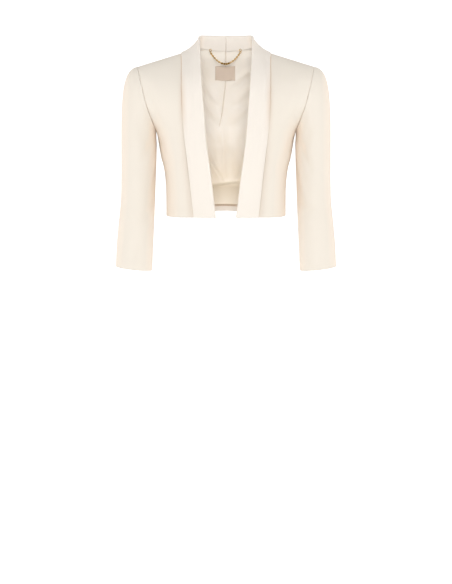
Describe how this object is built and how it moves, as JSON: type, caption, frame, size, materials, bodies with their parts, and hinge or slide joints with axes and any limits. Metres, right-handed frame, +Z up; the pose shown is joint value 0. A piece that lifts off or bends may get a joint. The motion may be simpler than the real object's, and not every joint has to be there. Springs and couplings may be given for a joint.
{
  "type": "jacket",
  "caption": "Cropped open-front evening jacket with a shawl collar, three-quarter sleeves, a satin back lining and a hanging chain, filled out as worn.",
  "frame": {"origin": "midway between the two shoulder seams, at the height of the middle of each seam, where the jacket rests on its wearer's shoulders", "axes": "+X towards the wearer's left sleeve, -Y out of the front, +Z up towards the collar"},
  "size_m": [0.504, 0.2086, 0.5337],
  "materials": {
    "crepe": "matt ivory crepe",
    "satin_lining": "soft cream satin",
    "woven_label": "matt woven ribbon",
    "gilt_chain": "polished pale gilt"
  },
  "bodies": {
    "root": {"front_left": "crepe", "front_right": "crepe", "back": "crepe", "sleeve_left": "crepe", "sleeve_right": "crepe", "collar_left": "crepe", "collar_right": "crepe", "back_lining": "satin_lining", "back_hem_facing": "crepe", "neck_label": "woven_label", "chain_ring_left": "gilt_chain", "chain_ring_right": "gilt_chain", "hanger_chain": "gilt_chain"}
  },
  "joints": []
}
